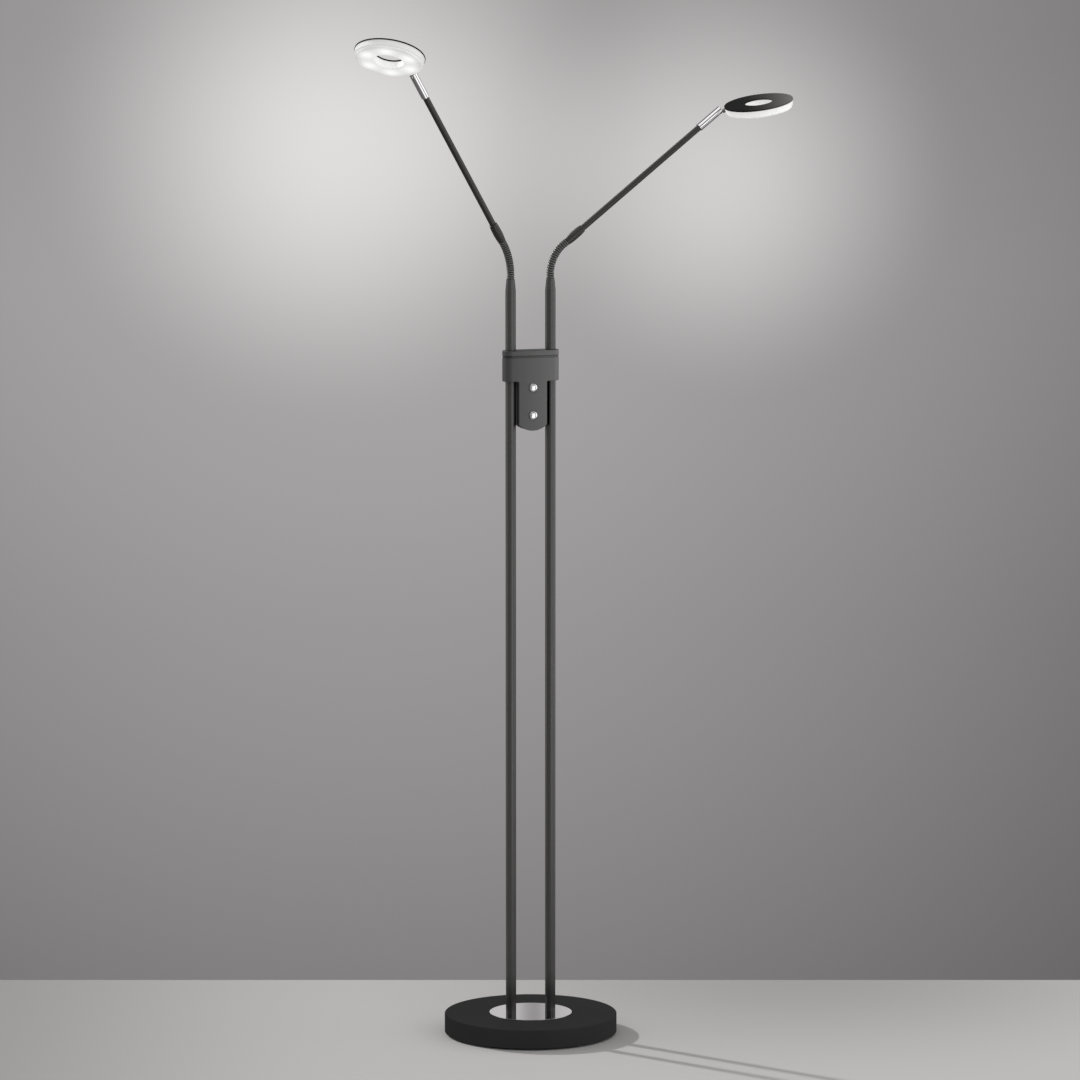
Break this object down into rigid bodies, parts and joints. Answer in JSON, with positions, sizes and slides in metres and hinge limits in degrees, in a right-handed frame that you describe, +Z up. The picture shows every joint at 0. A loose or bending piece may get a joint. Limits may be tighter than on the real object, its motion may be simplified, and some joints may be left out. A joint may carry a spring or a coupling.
{
  "type": "floor reading lamp",
  "caption": "Slim floor reading lamp with a weighted round base, twin poles, a push-button bracket, bendable necks and ring-shaped lights on slotted ball joints",
  "frame": {"origin": "on the floor, at the centre of the round base", "axes": "+Z up along the poles, +X to the right from pole to pole, -Y to the front, where the buttons are"},
  "size_m": [0.6862, 0.2906, 1.452],
  "materials": {
    "base_paint": "matt fine-textured anthracite powder coat",
    "pole_paint": "satin anthracite lacquer",
    "polished_disc": "mirror-polished plate",
    "bracket_plastic": "fine matt anthracite moulding",
    "chrome_trim": "bright polished",
    "head_paint": "matt dark top plate",
    "opal_diffuser": "opal, lit from inside",
    "iron_weight": "bare casting",
    "steel_parts": "zinc-plated",
    "rubber_feet": "soft black",
    "inner_plastic": "plain white moulding",
    "circuit_board": "green solder mask",
    "led_board": "white-coated board with yellow diodes"
  },
  "bodies": {
    "stand": {"base_cover": "base_paint", "base_disc": "polished_disc", "base_weight": "iron_weight", "base_plate": "base_paint", "plate_screws": "steel_parts", "base_feet": "rubber_feet", "led_driver": "inner_plastic", "cable_grommet": "rubber_feet", "pole_left": "pole_paint", "pole_right": "pole_paint", "pole_studs": "steel_parts", "pole_nuts": "steel_parts", "pole_washers": "steel_parts", "pole_ferrule_left": "pole_paint", "pole_ferrule_right": "pole_paint", "bracket_housing": "bracket_plastic", "bracket_cap": "bracket_plastic", "bracket_back": "bracket_plastic", "bracket_screws": "steel_parts", "pole_grub_screws": "steel_parts", "dimmer_board": "circuit_board", "push_switches": "inner_plastic"},
    "button_upper": {"button_upper": "chrome_trim"},
    "button_lower": {"button_lower": "chrome_trim"},
    "left_neck_1": {"neck_left_1": "pole_paint"},
    "left_neck_2": {"neck_left_2": "pole_paint"},
    "left_neck_3": {"neck_left_3": "pole_paint"},
    "left_neck_4": {"neck_left_4": "pole_paint"},
    "left_neck_5": {"neck_left_5": "pole_paint"},
    "left_arm": {"neck_left_6": "pole_paint", "arm_ferrule_left": "pole_paint", "arm_tube_left": "pole_paint"},
    "left_sleeve": {"sleeve_left": "chrome_trim", "ball_seat_left": "inner_plastic"},
    "left_ball": {"swivel_ball_left": "chrome_trim"},
    "left_head": {"head_stem_left": "chrome_trim", "head_plate_left": "head_paint", "diffuser_left": "opal_diffuser", "head_tray_left": "inner_plastic", "led_ring_left": "led_board"},
    "right_neck_1": {"neck_right_1": "pole_paint"},
    "right_neck_2": {"neck_right_2": "pole_paint"},
    "right_neck_3": {"neck_right_3": "pole_paint"},
    "right_neck_4": {"neck_right_4": "pole_paint"},
    "right_neck_5": {"neck_right_5": "pole_paint"},
    "right_arm": {"neck_right_6": "pole_paint", "arm_ferrule_right": "pole_paint", "arm_tube_right": "pole_paint"},
    "right_sleeve": {"sleeve_right": "chrome_trim", "ball_seat_right": "inner_plastic"},
    "right_ball": {"swivel_ball_right": "chrome_trim"},
    "right_head": {"head_stem_right": "chrome_trim", "head_plate_right": "head_paint", "diffuser_right": "opal_diffuser", "head_tray_right": "inner_plastic", "led_ring_right": "led_board"}
  },
  "joints": [
    {"name": "button_upper_press", "type": "slide", "parent": "stand", "child": "button_upper", "axis": [0, 1, 0], "range_m": [0, 0.001], "stiffness_N_per_m": 700, "springref_m": -0.001},
    {"name": "button_lower_press", "type": "slide", "parent": "stand", "child": "button_lower", "axis": [0, 1, 0], "range_m": [0, 0.001], "stiffness_N_per_m": 700, "springref_m": -0.001},
    {"name": "left_neck_turn", "type": "hinge", "parent": "stand", "child": "left_neck_1", "pos_m": [-0.03, 0, 1.0998], "axis": [0, 0, 1], "range_deg": [-60, 60]},
    {"name": "left_neck_bend", "type": "hinge", "parent": "left_neck_1", "child": "left_neck_2", "pos_m": [-0.03, 0, 1.1098], "axis": [0.4617, -0.887, 0], "range_deg": [-7.2, 9.8]},
    {"name": "left_neck_bend_2", "type": "hinge", "parent": "left_neck_2", "child": "left_neck_3", "pos_m": [-0.03111, -0.00058, 1.11972], "axis": [0.4617, -0.887, 0], "range_deg": [-7.2, 9.8]},
    {"name": "left_neck_bend_3", "type": "hinge", "parent": "left_neck_3", "child": "left_neck_4", "pos_m": [-0.03332, -0.00173, 1.12941], "axis": [0.4617, -0.887, 0], "range_deg": [-7.2, 9.8]},
    {"name": "left_neck_bend_4", "type": "hinge", "parent": "left_neck_4", "child": "left_neck_5", "pos_m": [-0.03658, -0.00343, 1.1387], "axis": [0.4617, -0.887, 0], "range_deg": [-7.2, 9.8]},
    {"name": "left_neck_bend_5", "type": "hinge", "parent": "left_neck_5", "child": "left_arm", "pos_m": [-0.04086, -0.00565, 1.14747], "axis": [0.4617, -0.887, 0], "range_deg": [-7.2, 9.8]},
    {"name": "left_sleeve_turn", "type": "hinge", "parent": "left_arm", "child": "left_sleeve", "pos_m": [-0.20066, -0.08884, 1.39543], "axis": [-0.5214, -0.2714, 0.809], "range_deg": [-90, 90]},
    {"name": "left_head_tilt", "type": "hinge", "parent": "left_sleeve", "child": "left_ball", "pos_m": [-0.20066, -0.08884, 1.39543], "axis": [0.5815, -0.8068, 0.1041], "range_deg": [-27.5, 62.5]},
    {"name": "left_head_roll", "type": "hinge", "parent": "left_ball", "child": "left_head", "pos_m": [-0.20066, -0.08884, 1.39543], "axis": [-0.7508, -0.483, 0.4505], "range_deg": [-60, 60]},
    {"name": "right_neck_turn", "type": "hinge", "parent": "stand", "child": "right_neck_1", "pos_m": [0.03, 0, 1.0998], "axis": [0, 0, 1], "range_deg": [-60, 60]},
    {"name": "right_neck_bend", "type": "hinge", "parent": "right_neck_1", "child": "right_neck_2", "pos_m": [0.03, 0, 1.1098], "axis": [-0.0506, 0.9987, 0], "range_deg": [-10.44, 6.56]},
    {"name": "right_neck_bend_2", "type": "hinge", "parent": "right_neck_2", "child": "right_neck_3", "pos_m": [0.03181, 0.00009, 1.11963], "axis": [-0.0506, 0.9987, 0], "range_deg": [-10.44, 6.56]},
    {"name": "right_neck_bend_3", "type": "hinge", "parent": "right_neck_3", "child": "right_neck_4", "pos_m": [0.03537, 0.00027, 1.12898], "axis": [-0.0506, 0.9987, 0], "range_deg": [-10.44, 6.56]},
    {"name": "right_neck_bend_4", "type": "hinge", "parent": "right_neck_4", "child": "right_neck_5", "pos_m": [0.04056, 0.00053, 1.13752], "axis": [-0.0506, 0.9987, 0], "range_deg": [-10.44, 6.56]},
    {"name": "right_neck_bend_5", "type": "hinge", "parent": "right_neck_5", "child": "right_arm", "pos_m": [0.04721, 0.00087, 1.14498], "axis": [-0.0506, 0.9987, 0], "range_deg": [-10.44, 6.56]},
    {"name": "right_sleeve_turn", "type": "hinge", "parent": "right_arm", "child": "right_sleeve", "pos_m": [0.28908, 0.01312, 1.33284], "axis": [0.7891, 0.04, 0.6129], "range_deg": [-90, 90]},
    {"name": "right_head_tilt", "type": "hinge", "parent": "right_sleeve", "child": "right_ball", "pos_m": [0.28908, 0.01312, 1.33284], "axis": [0.3788, 0.7539, -0.5369], "range_deg": [-37.9, 52.1]},
    {"name": "right_head_roll", "type": "hinge", "parent": "right_ball", "child": "right_head", "pos_m": [0.28908, 0.01312, 1.33284], "axis": [0.9197, -0.3713, 0.1275], "range_deg": [-60, 60]}
  ]
}
